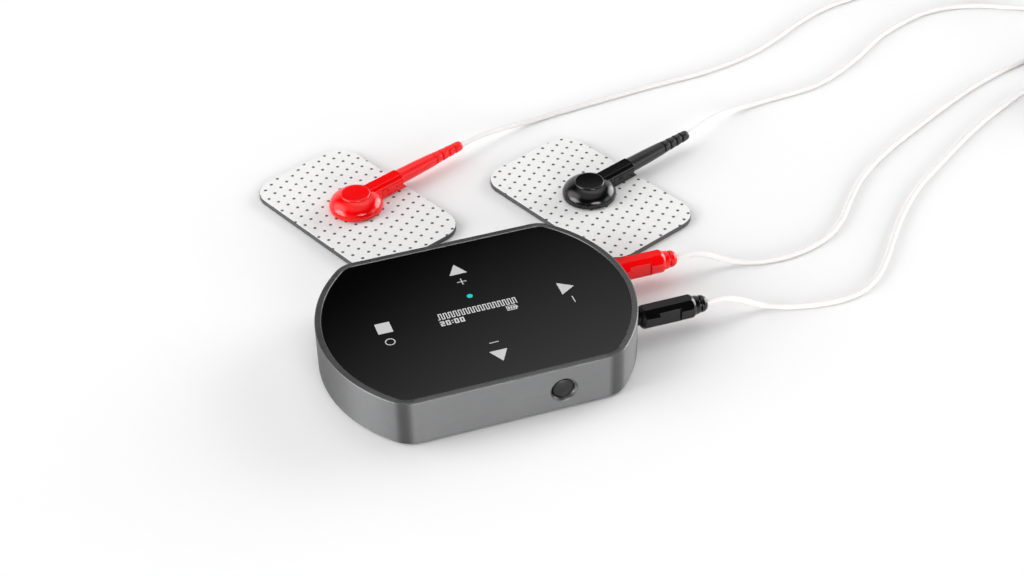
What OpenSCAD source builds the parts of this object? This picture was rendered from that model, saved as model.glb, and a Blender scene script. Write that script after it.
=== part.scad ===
// A slim TENS unit with two leads. Each lead has a plug, a cord, a press-stud
// connector and an electrode pad. Millimetres, +Z up, the origin at the middle of
// the unit's underside, +X towards its jacks, +Y towards the pads.

/* [Casing] */
// Length of the casing between the tops of its two end arcs
case_l = 80; // [79:1:84]
// Width of the casing across its straight sides
case_w = 57.3; // [56:0.1:60]
// Height of the casing's rim above the surface it rests on
case_h = 13.05; // [13:0.05:15]
// Radius of the two end arcs
end_r = 37.4; // [36.5:0.1:38.5]
// Radius of the four corners between the arcs and the sides
corner_r = 7; // [6.5:0.5:8]
// Thickness of the casing's wall, which is also the width of its rim
wall = 1.6; // [1.4:0.1:1.8]
// Thickness of the glass panel
glass_t = 1.1; // [0.8:0.1:1.3]
// Depth of the glass below the rim
glass_recess = 0.15; // [0.05:0.05:0.3]

/* [Button] */
// Distance of the button from the casing's middle, along the front wall
button_x = 12.5; // [8:0.5:16]
// Diameter of the button's cap
button_d = 5.4; // [4.8:0.1:6]
// How far the button travels
button_travel = 0.6; // [0.3:0.1:0.6]

/* [Leads] */
// Distance of each jack from the casing's middle
jack_y = 9.9; // [9.5:0.1:10.5]
// Height of the jacks' axes above the surface
jack_z = 6.5; // [6.4:0.1:7]
// Size of the plug's eight-sided shell across its flats
plug_af = 6; // [5.4:0.2:6.4]
// Length of the shell
plug_l = 14.1; // [13:0.1:16]
// Diameter of the plug's metal pin
pin_d = 2.35; // [2.2:0.05:2.4]
// Length of the pin outside the shell
pin_l = 10.2; // [9.5:0.1:10.8]
// Diameter of the cord
cord_d = 1.6; // [1.4:0.1:1.6]
// Turns of cord in each layer of a coil
turns_per_layer = 2.5; // [2:0.5:3]
// Diameter of a coil at the middle of its turns
coil_d = 18.8; // [17:0.1:19]

/* [Connectors] */
// Diameter of a connector's round head
head_d = 14.8; // [14.4:0.2:15.2]
// Height of the head's flat cap above the surface
head_top = 6.5; // [6.4:0.1:6.7]
// Length from the stud's axis to the tip of the ribbed boot
boot_end = 38; // [36:0.5:39]
// Diameter of the boot at its root
boot_d = 4.3; // [4:0.1:4.4]
// Diameter of the boot at its tip
boot_tip_d = 2.9; // [2.6:0.1:3]
// Number of ribs on the boot
ribs = 4; // [3:1:4]

/* [Pads] */
// Length of a pad
pad_l = 54; // [50:1:56]
// Width of a pad
pad_w = 33.1; // [30:0.1:34]
// Radius of a pad's corners
pad_r = 6.9; // [4:0.1:9]
// Thickness of a pad
pad_t = 1.5; // [1.4:0.1:1.6]

/* [Hidden] */
$fn = 96;

// Colours
gunmetal = "#4b4e52";
glass_black = "#101216";
soft_black = "#1b1c1e";
red = "#d8121b";
white = "#f2f2f0";
steel = "#b9bcc0";
board_green = "#1f5a3a";
foam_grey = "#3c3e41";

// A small overrun that makes a cut pass its face
eps = 0.5;

// The casing's outline: where the end arcs and the corners have their centres
arc_x = case_l / 2 - end_r;
corner_y = case_w / 2 - corner_r;
corner_x = arc_x + sqrt(pow(end_r - corner_r, 2) - pow(corner_y, 2));
join_angle = atan2(corner_y, corner_x - arc_x);
end_steps = 12;
corner_steps = 8;

// Heights in the unit, from the surface up
base_pad_t = 0.5;
base_pad_inset = 1.1;
cover_top = 2;
cover_gap = 0.05;
board_z = 2.4;
board_top = 3.4;
foam_top = 4;
battery_top = 8.6;
panel_board_z = 9;
panel_board_top = 9.8;
ledge_w = 1.4;
ledge_t = 1.2;
gasket_t = 0.3;
glass_z = case_h - glass_recess - glass_t;
seat_z = glass_z - gasket_t;
ledge_z = seat_z - ledge_t;

// Screws that hold the bottom cover to the casing's bosses
boss_x = 27.5;
boss_y = 20.5;
boss_r = 2.2;
pilot_r = 0.8;
screw_r = 0.75;
screw_head_r = 1.7;
screw_head_t = 0.9;

// The button and the switch behind the front wall
button_z = 6.3;
wall_y = case_w / 2 - wall;
button_gap = 0.08;
lip_r = 3.35;
flange_r = 3.3;
flange_t = 0.75;
flange_y = -wall_y + 0.1;
plunger_y = flange_y + flange_t;
plunger_r = 1;
plunger_l = 2;
switch_y = wall_y - 1.85;
switch_size = [6, 2.6, 5.4];

// The jacks and plugs
jack_front_x = 35.6;
jack_size = [11.2, 6.4, 6.2];
jack_nose_r = 1.9;
jack_nose_x = 38.1;
plug_x = 39.7;
shell_end = plug_x + plug_l;
collar_end = shell_end + 4.2;
pin_hold = 6;

// The connectors, in a frame whose origin is under the stud and whose +X is the tail
snap_z = 1.9;
split_z = 3.2;
neck_split_z = 4.7;
neck_top = 6.2;
neck_w = 4.6;
neck_end = 15;
foot_end = 15.9;
cap_r = 4.3;
cap_z = 5.2;
socket_r = 3.35;
socket_top = 4.5;
boot_z = 4.3;
boot_core_r = 1.2;
rib_pitch = 2.4;
rib_groove = 0.45;
boot_waist = 0.6;

// The pads, in the same frame as the connectors
gel_top = 0.5;
foam_top_z = 1.25;
stud_flange_top = pad_t + 0.15;
eyelet_r = 4;
eyelet_t = 0.2;
rivet_r = 1;
rivet_top = 2.2;

// Each pad's centre, and the direction of its connector's tail
red_pad_at = [-13.2, 67];
red_tail_angle = 23.5;
black_pad_at = [48.8, 50.2];
black_tail_angle = 22.5;

// A coil's cross-section
layers = 4;
ring_w = cord_d * (turns_per_layer + 1);
ring_h = cord_d * layers;
coil_top_z = ring_h - cord_d / 2;
floor_z = cord_d / 2;

// Centre of each coil: the near cord runs into the red coil's right-hand side at
// [235, 118] and along the top of the black coil at [205, 60]
coil_line_r = (coil_d + ring_w - cord_d) / 2;
red_coil_at = [235 - coil_line_r, 118];
black_coil_at = [205, 60 - coil_line_r];

// The cords' routes, from the plug to the coil and from the coil to the connector
red_near_route = [
    [collar_end, jack_y, jack_z], [62, 9.9, jack_z], [66, 9.9, 5.2],
    [70, 9.8, 3], [75, 9, 1.1], [81, 7.4, floor_z], [88, 7, floor_z], [95, 8.2, floor_z],
    [102, 11, floor_z], [109, 16.4, floor_z], [116, 24.6, floor_z],
    [124, 33, floor_z], [136, 41.8, floor_z], [151, 50.4, floor_z],
    [165, 58, floor_z], [178, 64.2, floor_z], [192, 69.4, floor_z],
    [214, 75, floor_z], [229, 80.2, floor_z],
    [234, 86.4, 1.2], [235, 92, 3], [235, 98, 3], [235, 105, 1.1], [235, 118, floor_z]
];
red_far_route = [
    [red_coil_at[0], 118 + coil_line_r, coil_top_z], [214, 129.4, 5.4], [205, 129, 3.4],
    [195, 128, 1.3], [175, 125, floor_z], [156, 121, floor_z],
    [144, 115.6, floor_z], [133, 109.2, floor_z], [122, 103.8, floor_z],
    [106, 99.4, floor_z], [84, 97.2, floor_z],
    [62, 94.4, floor_z], [52, 93, floor_z], [44, 91.2, 1.3], [36, 88.2, 2.8],
    [29, 85.3, 4], [21.96, 82.28, boot_z]
];
black_near_route = [
    [collar_end, -jack_y, jack_z], [62, -9.9, jack_z], [66, -9.9, 5.2],
    [70, -9.9, 2.9], [74, -10.2, 1.1], [80, -12.4, floor_z], [87, -14, floor_z], [94, -14.4, floor_z],
    [101, -12.8, floor_z], [107, -8.8, floor_z], [113, -2.4, floor_z],
    [119, 5.2, floor_z], [127, 14.4, floor_z], [137, 23.8, floor_z],
    [149, 32.4, floor_z], [164, 42.6, floor_z], [178, 50.6, floor_z],
    [192, 57.4, floor_z], [205, 60, floor_z]
];
black_far_route = [
    [205, 60, coil_top_z], [214, 60, 5.4], [224, 61.6, 3], [234, 64.6, 1.2],
    [243, 69, floor_z], [250, 75.6, floor_z], [253, 82.8, floor_z], [251, 90, floor_z],
    [245, 94.4, floor_z], [225, 95.2, floor_z], [213, 99.6, floor_z],
    [202, 105, floor_z], [193, 107.4, floor_z], [184, 107.2, floor_z],
    [174, 104, floor_z], [163, 98.6, floor_z], [153, 91.4, floor_z],
    [143, 85.2, floor_z], [132, 80.4, floor_z], [114, 78, floor_z], [104, 75.8, 1.6],
    [95, 71.2, 3.6], [84.2, 64.86, boot_z]
];

// ---- Shapes that repeat ----

// Points along an arc, both ends included
function arc_points(centre, r, from, to, steps) =
    [for (i = [0 : steps])
        let (turn = from + (to - from) * i / steps)
        centre + r * [cos(turn), sin(turn)]];

// The casing's outline, moved in by inset on every side
module outline(inset = 0) {
    tip_angle = join_angle * (1 - 1 / end_steps);
    polygon(concat(
        arc_points([arc_x, 0], end_r - inset, -tip_angle, tip_angle, 2 * end_steps - 2),
        arc_points([corner_x, corner_y], corner_r - inset, join_angle, 90, corner_steps),
        arc_points([-corner_x, corner_y], corner_r - inset, 90, 180 - join_angle, corner_steps),
        arc_points(
            [-arc_x, 0], end_r - inset, 180 - tip_angle, 180 + tip_angle, 2 * end_steps - 2
        ),
        arc_points(
            [-corner_x, -corner_y], corner_r - inset, 180 + join_angle, 270, corner_steps
        ),
        arc_points([corner_x, -corner_y], corner_r - inset, 270, 360 - join_angle, corner_steps)
    ));
}

// A plate of the casing's outline between two heights
module plate(inset, low, high) {
    translate([0, 0, low])
        linear_extrude(high - low)
            outline(inset);
}

// A box from its lowest corner to its highest
module block(low, high) {
    translate(low)
        cube(high - low);
}

// Children at each of the four screws
module at_bosses() {
    for (sx = [-1, 1], sy = [-1, 1])
        translate([sx * boss_x, sy * boss_y, 0])
            children();
}

// A rod along +X between two places on an axis at y and z
module x_rod(r, from_x, to_x, y, z) {
    translate([from_x, y, z])
        rotate([0, 90, 0])
            cylinder(r = r, h = to_x - from_x);
}

// A rod along +Y between two places on the button's axis
module button_rod(r, from_y, to_y) {
    translate([button_x, from_y, button_z])
        rotate([-90, 0, 0])
            cylinder(r = r, h = to_y - from_y);
}

// A shape turned about the X axis from its half outline of [x, r] points
module x_turned(profile, y, z) {
    translate([0, y, z])
        rotate([90, 0, 90])
            rotate_extrude()
                polygon([for (p = profile) [p[1], p[0]]]);
}

// A rectangle with round corners
module rounded(l, w, r) {
    square([l, w - 2 * r], center = true);
    square([l - 2 * r, w], center = true);
    for (sx = [-1, 1], sy = [-1, 1])
        translate([sx * (l / 2 - r), sy * (w / 2 - r)])
            circle(r = r);
}

// Children moved from the connector's frame to its place
module at_pad(side) {
    translate(side == "red" ? red_pad_at : black_pad_at)
        rotate(side == "red" ? red_tail_angle : black_tail_angle)
            children();
}

// Direction of a route at one of its points
function heading(route, i) =
    let (
        ahead = route[min(i + 1, len(route) - 1)],
        behind = route[max(i - 1, 0)]
    )
    (ahead - behind) / norm(ahead - behind);

// A level direction across the route
function across(route, i) =
    let (sideways = cross([0, 0, 1], heading(route, i)))
    sideways / norm(sideways);

// The ring of corners around one point of the route
function ring(route, i, r, sides) =
    let (
        a = across(route, i),
        b = cross(heading(route, i), a)
    )
    [for (k = [0 : sides - 1])
        let (turn = (k + 0.5) * 360 / sides)
        route[i] + r * (cos(turn) * a + sin(turn) * b)];

// A closed tube along a route
module tube(route, r) {
    sides = 8;
    last = len(route) - 1;
    polyhedron(
        points = [for (i = [0 : last]) each ring(route, i, r, sides)],
        faces = concat(
            [[for (k = [0 : sides - 1]) k]],
            [[for (k = [0 : sides - 1]) last * sides + sides - 1 - k]],
            [for (i = [0 : last - 1], k = [0 : sides - 1])
                [
                    i * sides + k, (i + 1) * sides + k,
                    (i + 1) * sides + (k + 1) % sides, i * sides + (k + 1) % sides
                ]]
        )
    );
}

// ---- The unit ----

module casing() {
    color(gunmetal)
        difference() {
            union() {
                difference() {
                    plate(0, base_pad_t, case_h);
                    plate(wall, base_pad_t - eps, ledge_z);
                    plate(wall + ledge_w, ledge_z - eps, case_h);
                    plate(wall, seat_z, case_h + eps);
                }
                at_bosses()
                    translate([0, 0, cover_top])
                        cylinder(r = boss_r, h = ledge_z - cover_top + eps);
            }
            at_bosses()
                translate([0, 0, cover_top - eps])
                    cylinder(r = pilot_r, h = 5.5);
            button_rod(button_d / 2 + button_gap, -case_w / 2 - eps, -wall_y + eps);
            translate([button_x, -case_w / 2, button_z])
                rotate([-90, 0, 0])
                    cylinder(r1 = lip_r, r2 = button_d / 2, h = lip_r - button_d / 2);
            for (side = [-1, 1])
                x_rod(jack_nose_r + 0.1, jack_front_x, plug_x + eps, side * jack_y, jack_z);
        }
}

module bottom_cover() {
    color(soft_black)
        difference() {
            union() {
                plate(wall + cover_gap, base_pad_t, cover_top);
                for (sx = [-1, 1], sy = [-1, 1])
                    translate([sx * 20, sy * 16, cover_top])
                        cylinder(r = 1.5, h = board_z - cover_top);
            }
            at_bosses() {
                translate([0, 0, base_pad_t - eps])
                    cylinder(r = screw_head_r + 0.1, h = screw_head_t + 0.05 + eps);
                cylinder(r = screw_r + 0.2, h = cover_top + eps);
            }
        }
}

module base_pad() {
    color("#202123")
        plate(base_pad_inset, 0, base_pad_t);
}

module glass_panel() {
    color(glass_black)
        plate(wall + 0.05, glass_z, glass_z + glass_t);
}

module panel_gasket() {
    color(foam_grey)
        difference() {
            plate(wall + 0.1, seat_z, glass_z);
            plate(wall + ledge_w, seat_z - eps, glass_z + eps);
        }
}

module touch_film() {
    color("#c9b98a")
        plate(wall + ledge_w + 0.3, glass_z - 0.2, glass_z);
}

module display_module() {
    color("#23313f")
        block([-13.4, -9, panel_board_top], [13.4, 4, glass_z - 0.2]);
}

module panel_board() {
    color(board_green)
        block([-17, -11, panel_board_z], [17, 11, panel_board_top]);
}

module status_light() {
    color("#3fd6cf")
        translate([0, 5.4, 0]) {
            block([-1, -0.6, panel_board_top], [1, 0.6, panel_board_top + 0.5]);
            translate([0, 0, panel_board_top + 0.5])
                cylinder(r = 0.75, h = glass_z - 0.2 - panel_board_top - 0.5);
        }
}

module panel_cable() {
    color("#b8702c") {
        block([5.9, -4, foam_top + 0.4], [6.1, 4, panel_board_z]);
        block([5.9, -4, panel_board_z - 0.2], [9, 4, panel_board_z]);
        block([5.2, -4.6, board_top], [6.8, 4.6, foam_top + 0.4]);
    }
}

module main_board() {
    color(board_green)
        difference() {
            plate(wall + 0.6, board_z, board_top);
            at_bosses()
                translate([0, 0, board_z - eps])
                    cylinder(r = boss_r + 0.3, h = board_top - board_z + 2 * eps);
            block([15, -3, board_z - eps], [17, 3, board_top + eps]);
            block(
                [button_x - flange_r - 0.5, -case_w / 2, board_z - eps],
                [button_x + flange_r + 0.5, plunger_y + button_travel + 0.3, board_top + eps]
            );
        }
}

module controller_chip() {
    color(soft_black) {
        block([18, -3.5, board_top + 0.1], [25, 3.5, board_top + 1]);
        for (i = [-4 : 4])
            block([17.4, i * 0.7 - 0.15, board_top], [25.6, i * 0.7 + 0.15, board_top + 0.25]);
    }
}

module capacitors() {
    color("#7d8792")
        for (at = [[29, -3.2], [29, 3.2], [33, 0]])
            translate([at[0], at[1], board_top])
                cylinder(r = 1.8, h = 5);
}

module battery() {
    color("#c4c8cc") {
        block([-29, -14, foam_top], [2, 14, battery_top]);
        block([-30, -12, foam_top + 0.8], [-29, 12, battery_top - 0.8]);
    }
}

module battery_foam() {
    color(foam_grey)
        block([-28, -13, board_top], [1, 13, foam_top]);
}

module battery_lead() {
    color("#c23a2e") {
        for (y = [-1.2, 1.2])
            x_rod(0.5, -32.6, -30, y, 6);
        block([-35, -2.6, board_top], [-32.6, 2.6, 7]);
    }
}

module power_switch() {
    color(steel)
        difference() {
            translate([button_x, -switch_y + switch_size[1] / 2, board_top + switch_size[2] / 2])
                cube(switch_size, center = true);
            button_rod(
                plunger_r + 0.1, -switch_y - eps, plunger_y + plunger_l + button_travel + 0.4
            );
        }
}

module case_screws() {
    color(steel)
        at_bosses() {
            translate([0, 0, base_pad_t])
                cylinder(r = screw_head_r, h = screw_head_t);
            translate([0, 0, base_pad_t + screw_head_t])
                cylinder(r = screw_r, h = 4.6);
        }
}

module transformer(side) {
    color("#6e5a2e")
        translate([12, side * 13, 0]) {
            block([-6, -4.5, board_top], [6, 4.5, board_top + 1.2]);
            block([-6, -4.5, battery_top - 1.2], [6, 4.5, battery_top]);
            for (x = [-6, 4])
                block([x, -4.5, board_top + 1.2], [x + 2, 4.5, battery_top - 1.2]);
            translate([0, 0, board_top + 1.2])
                cylinder(r = 3.6, h = battery_top - board_top - 2.4);
        }
}

module jack(side, tint) {
    low = [jack_front_x - jack_size[0], side * jack_y - jack_size[1] / 2, board_top];
    color(tint)
        difference() {
            union() {
                block(low, low + jack_size);
                x_rod(jack_nose_r, jack_front_x - eps, jack_nose_x, side * jack_y, jack_z);
            }
            x_rod(pin_d / 2 + 0.08, 26, jack_nose_x + eps, side * jack_y, jack_z);
            block(
                [27, side * jack_y - 0.8, jack_z + pin_d / 2],
                [33, side * jack_y + 0.8, board_top + jack_size[2] + eps]
            );
        }
}

module jack_contact(side) {
    leaf_z = jack_z + pin_d / 2 + 0.1;
    color("#c9a24a")
        translate([0, side * jack_y, 0]) {
            block([27.2, -0.6, leaf_z], [32.8, 0.6, leaf_z + 0.25]);
            block([27.2, -0.6, leaf_z], [27.5, 0.6, board_top + jack_size[2] - 0.2]);
        }
}

// ---- The power button ----

module button_cap() {
    color(soft_black) {
        button_rod(button_d / 2, -case_w / 2, flange_y);
        button_rod(flange_r, flange_y, plunger_y);
    }
}

module switch_plunger() {
    color(steel)
        button_rod(plunger_r, plunger_y, plunger_y + plunger_l);
}

// ---- A lead's plug ----

module plug_shell(side, tint) {
    flat_y = plug_af / 2;
    nose_r = plug_af * 0.46;
    color(tint)
        difference() {
            intersection() {
                translate([plug_x, side * jack_y, jack_z])
                    rotate([0, 90, 0])
                        rotate(22.5)
                            cylinder(r = flat_y / cos(22.5), h = plug_l, $fn = 8);
                x_turned(
                    [
                        [plug_x, 0], [plug_x, nose_r], [plug_x + 0.9, plug_af * 0.56],
                        [shell_end - 1.2, plug_af * 0.56], [shell_end, nose_r - 0.1], [shell_end, 0]
                    ],
                    side * jack_y, jack_z
                );
            }
            for (s = [-1, 1])
                translate([plug_x + 7.1, side * jack_y + s * (flat_y + 0.3), jack_z])
                    cube([5.8, 2, 8], center = true);
            x_rod(pin_d / 2, plug_x - eps, plug_x + pin_hold, side * jack_y, jack_z);
        }
}

module plug_collar(side, tint) {
    color(tint)
        x_turned(
            [
                [shell_end, 0], [shell_end, 2.6], [shell_end + 1.4, 2.45],
                [shell_end + 1.4, 1.95], [shell_end + 2.1, 1.95], [shell_end + 2.1, 2.4],
                [shell_end + 3.2, 2.3], [shell_end + 3.9, 1.8], [collar_end, 1.3],
                [collar_end, 0]
            ],
            side * jack_y, jack_z
        );
}

module plug_pin(side) {
    tip_x = plug_x - pin_l;
    color(steel)
        x_turned(
            [
                [tip_x, 0], [tip_x, pin_d * 0.28], [tip_x + 0.8, pin_d / 2],
                [plug_x + pin_hold, pin_d / 2], [plug_x + pin_hold, 0]
            ],
            side * jack_y, jack_z
        );
}

module coil(at) {
    inner_r = coil_d / 2 - ring_w / 2;
    outer_r = coil_d / 2 + ring_w / 2;
    bevel = cord_d / 4;
    color(white)
        translate([at[0], at[1], 0])
            rotate_extrude()
                polygon([
                    [inner_r + bevel, 0], [outer_r - bevel, 0], [outer_r, bevel],
                    [outer_r, ring_h - bevel], [outer_r - bevel, ring_h],
                    [inner_r + bevel, ring_h], [inner_r, ring_h - bevel], [inner_r, bevel]
                ]);
}

// ---- A lead's connector ----

module boot_bore() {
    x_rod(boot_core_r + 0.05, 9, neck_end + eps, 0, boot_z);
}

module snap_base(side, tint) {
    color(tint)
        at_pad(side)
            difference() {
                union() {
                    translate([0, 0, snap_z])
                        cylinder(d = head_d, h = split_z - snap_z);
                    block([5, -neck_w / 2 - 0.1, snap_z], [neck_end, neck_w / 2 + 0.1, split_z]);
                    block([5, -neck_w / 2 - 0.1, snap_z], [foot_end, neck_w / 2 + 0.1, snap_z + 0.4]);
                    block(
                        [head_d / 2 + 0.05, -neck_w / 2 - 0.1, split_z - 0.2],
                        [neck_end, neck_w / 2 + 0.1, neck_split_z]
                    );
                }
                translate([0, 0, snap_z - eps])
                    cylinder(r = socket_r + 0.05, h = split_z);
                boot_bore();
            }
}

module snap_housing(side, tint) {
    head_r = head_d / 2;
    color(tint)
        at_pad(side)
            difference() {
                union() {
                    rotate_extrude()
                        polygon(concat(
                            [[0, split_z]],
                            [for (t = [10 : 8 : 66])
                                [head_r - 5.2 * (1 - cos(t)), split_z - 0.6 + 3.6 * sin(t)]],
                            [[0, split_z - 0.6 + 3.6 * sin(66)]]
                        ));
                    block([3, -neck_w / 2, neck_split_z], [neck_end, neck_w / 2, neck_top - 0.4]);
                    block([3, -neck_w / 2, split_z], [head_r, neck_w / 2, neck_split_z + eps]);
                    block(
                        [3, -neck_w / 2 + 0.4, neck_split_z],
                        [neck_end, neck_w / 2 - 0.4, neck_top]
                    );
                }
                translate([0, 0, split_z - eps])
                    cylinder(r = socket_r + 0.05, h = socket_top + 0.1 - split_z + eps);
                translate([0, 0, cap_z])
                    cylinder(r = cap_r + 0.05, h = 3);
                boot_bore();
            }
}

module snap_cap(side, tint) {
    color(tint)
        at_pad(side)
            rotate_extrude()
                polygon([
                    [0, cap_z], [cap_r, cap_z], [cap_r, head_top - 0.4],
                    [cap_r - 0.1, head_top - 0.15], [cap_r - 0.4, head_top], [0, head_top]
                ]);
}

module snap_socket(side) {
    color(steel)
        at_pad(side)
            translate([0, 0, snap_z + 0.1])
                difference() {
                    cylinder(r = socket_r, h = socket_top - snap_z - 0.1);
                    translate([0, 0, -eps])
                        cylinder(r = socket_r - 1.05, h = socket_top);
                }
}

module snap_boot(side, tint) {
    root_r = boot_d / 2;
    waist_r = root_r - boot_waist / 2;
    rib_r = waist_r - 0.1;
    tip_r = boot_tip_d / 2;
    first_rib = boot_end - ribs * rib_pitch;
    taper = (rib_r - tip_r) / (ribs * rib_pitch);
    color(tint)
        at_pad(side)
            x_turned(
                concat(
                    [
                        [9.1, 0], [9.1, boot_core_r], [neck_end, boot_core_r],
                        [neck_end, root_r], [first_rib - 0.9, waist_r]
                    ],
                    [for (i = [0 : ribs - 1], corner = [0 : 3])
                        let (
                            x = first_rib + i * rib_pitch,
                            r = rib_r - taper * i * rib_pitch
                        )
                        [
                            [x - 0.9, r - rib_groove], [x, r - rib_groove],
                            [x, r], [x + rib_pitch - 0.9, r - taper]
                        ][corner]],
                    [[boot_end, tip_r - 0.4], [boot_end, 0]]
                ),
                0, boot_z
            );
}

// ---- A lead's pad ----

module pad_layer(side, inset, low, high, tint) {
    color(tint)
        at_pad(side)
            translate([0, 0, low])
                linear_extrude(high - low)
                    rounded(pad_w - 2 * inset, pad_l - 2 * inset, pad_r - inset);
}

module rivet_hole(side) {
    at_pad(side)
        cylinder(r = rivet_r + 0.05, h = pad_t + eps);
}

module pad_gel(side) {
    pad_layer(side, 0.8, 0, gel_top, "#c8cfd2");
}

module pad_foam(side) {
    difference() {
        pad_layer(side, 0, gel_top, foam_top_z, foam_grey);
        rivet_hole(side);
        at_pad(side)
            translate([0, 0, gel_top - eps])
                cylinder(r = eyelet_r + 0.05, h = eyelet_t + eps);
    }
}

module pad_cover(side) {
    difference() {
        pad_layer(side, 0.1, foam_top_z, pad_t, white);
        rivet_hole(side);
    }
}

module pad_eyelet(side) {
    color(steel)
        at_pad(side) {
            translate([0, 0, gel_top])
                cylinder(r = eyelet_r, h = eyelet_t);
            translate([0, 0, gel_top])
                cylinder(r = rivet_r, h = rivet_top - gel_top);
        }
}

module pad_stud(side) {
    color(steel)
        at_pad(side)
            rotate_extrude()
                polygon([
                    [rivet_r, pad_t], [4.6, pad_t], [4.6, stud_flange_top],
                    [1.6, stud_flange_top], [1.5, 2.5], [1.95, 2.9], [1.95, 3.4],
                    [1.4, 3.95], [0, 4], [0, rivet_top], [rivet_r, rivet_top]
                ]);
}

// ---- One line per node ----

casing();
bottom_cover();
base_pad();
glass_panel();
panel_gasket();
touch_film();
display_module();
panel_board();
status_light();
panel_cable();
main_board();
controller_chip();
capacitors();
battery();
battery_foam();
battery_lead();
power_switch();
case_screws();
transformer(1);  // red_transformer
transformer(-1);  // black_transformer
jack(1, soft_black);  // red_jack
jack(-1, soft_black);  // black_jack
jack_contact(1);  // red_jack_contact
jack_contact(-1);  // black_jack_contact
button_cap();
switch_plunger();
plug_shell(1, red);  // red_plug_shell
plug_collar(1, red);  // red_plug_collar
plug_pin(1);  // red_plug_pin
color(white) tube(red_near_route, cord_d / 2);  // red_cord_near
coil(red_coil_at);  // red_cord_coil
color(white) tube(red_far_route, cord_d / 2);  // red_cord_far
snap_base("red", red);  // red_snap_base
snap_housing("red", red);  // red_snap_housing
snap_cap("red", red);  // red_snap_cap
snap_socket("red");  // red_snap_socket
snap_boot("red", red);  // red_snap_boot
pad_gel("red");  // red_pad_gel
pad_foam("red");  // red_pad_foam
pad_cover("red");  // red_pad_cover
pad_eyelet("red");  // red_pad_eyelet
pad_stud("red");  // red_pad_stud
plug_shell(-1, soft_black);  // black_plug_shell
plug_collar(-1, soft_black);  // black_plug_collar
plug_pin(-1);  // black_plug_pin
color(white) tube(black_near_route, cord_d / 2);  // black_cord_near
coil(black_coil_at);  // black_cord_coil
color(white) tube(black_far_route, cord_d / 2);  // black_cord_far
snap_base("black", soft_black);  // black_snap_base
snap_housing("black", soft_black);  // black_snap_housing
snap_cap("black", soft_black);  // black_snap_cap
snap_socket("black");  // black_snap_socket
snap_boot("black", soft_black);  // black_snap_boot
pad_gel("black");  // black_pad_gel
pad_foam("black");  // black_pad_foam
pad_cover("black");  // black_pad_cover
pad_eyelet("black");  // black_pad_eyelet
pad_stud("black");  // black_pad_stud
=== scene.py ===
"""A slim TENS unit with red and black leads and two electrode pads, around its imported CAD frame.

Lengths are in millimetres in the tables and profiles, and are scaled by MM where a mesh is made.
"""

import math

import bmesh
import bpy
from mathutils import Matrix, Vector, noise
from mathutils.geometry import delaunay_2d_cdt


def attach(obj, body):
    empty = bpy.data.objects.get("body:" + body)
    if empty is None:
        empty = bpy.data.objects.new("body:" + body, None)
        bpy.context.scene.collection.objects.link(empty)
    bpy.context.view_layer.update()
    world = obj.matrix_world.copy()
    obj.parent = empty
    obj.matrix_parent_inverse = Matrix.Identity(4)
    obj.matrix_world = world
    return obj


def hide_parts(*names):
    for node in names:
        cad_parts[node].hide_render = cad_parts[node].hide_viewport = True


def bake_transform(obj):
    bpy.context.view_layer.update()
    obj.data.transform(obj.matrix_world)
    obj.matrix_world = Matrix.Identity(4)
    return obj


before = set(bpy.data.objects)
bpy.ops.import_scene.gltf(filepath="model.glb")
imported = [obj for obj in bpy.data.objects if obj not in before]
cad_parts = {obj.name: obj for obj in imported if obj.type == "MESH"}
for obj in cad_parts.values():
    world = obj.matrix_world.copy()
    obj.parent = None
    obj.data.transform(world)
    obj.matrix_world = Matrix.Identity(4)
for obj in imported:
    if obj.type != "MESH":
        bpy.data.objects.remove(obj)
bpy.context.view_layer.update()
MM = 0.001

# -------- camera

CAMERA_LENS = 66.43
CAMERA_SENSOR = 36.0
CAMERA_TARGET = Vector((15.97, 20.31, 0.0)) * MM
CAMERA_DISTANCE = 492.83 * MM
CAMERA_AZIMUTH = math.radians(-18.1175)
CAMERA_ELEVATION = math.radians(38.3369)
CAMERA_ROLL = math.radians(-1.2722)


def add_camera():
    """The photo's camera: its distance and direction from its target, and a slight roll."""
    out, rise = math.cos(CAMERA_ELEVATION), math.sin(CAMERA_ELEVATION)
    back = Vector((math.sin(CAMERA_AZIMUTH) * out, -math.cos(CAMERA_AZIMUTH) * out, rise))
    level = Vector((0, 0, 1)).cross(back).normalized()
    upright = back.cross(level)
    turn = Matrix.Rotation(CAMERA_ROLL, 3, back)
    axes = Matrix((turn @ level, turn @ upright, back)).transposed()
    data = bpy.data.cameras.new("camera")
    data.lens, data.sensor_width = CAMERA_LENS, CAMERA_SENSOR
    data.clip_start = 0.01
    camera = bpy.data.objects.new("camera", data)
    camera.matrix_world = Matrix.Translation(
        CAMERA_TARGET + back * CAMERA_DISTANCE
    ) @ axes.to_4x4()
    bpy.context.scene.collection.objects.link(camera)
    bpy.context.scene.camera = camera


add_camera()

# -------- shader nodes


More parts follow.
